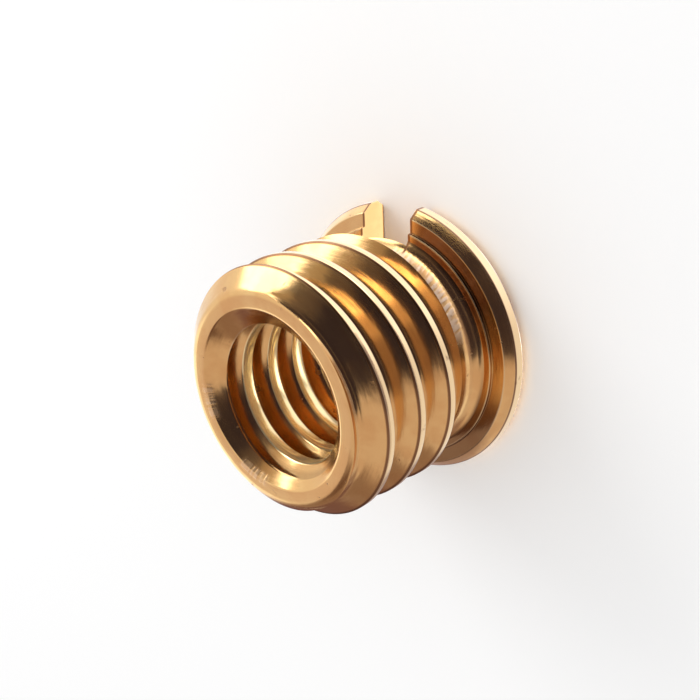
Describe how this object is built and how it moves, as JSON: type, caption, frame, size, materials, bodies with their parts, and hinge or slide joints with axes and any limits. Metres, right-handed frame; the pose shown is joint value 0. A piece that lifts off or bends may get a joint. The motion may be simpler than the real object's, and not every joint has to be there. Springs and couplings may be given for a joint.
{
  "type": "tripod thread adapter",
  "caption": "Flanged brass bush that fits a small camera screw to a large tripod socket, threaded outside and right through, with a driver slot across its flange.",
  "frame": {"origin": "on the thread axis, in the outer face of the flange, which is the face it stands on", "axes": "+Z along the thread axis from the flange to the tip, X along the driver slot, Y across it"},
  "size_m": [0.0104, 0.0104, 0.0078],
  "materials": {
    "brass": "turned and bright-dipped"
  },
  "bodies": {
    "root": {"adapter": "brass"}
  },
  "joints": []
}
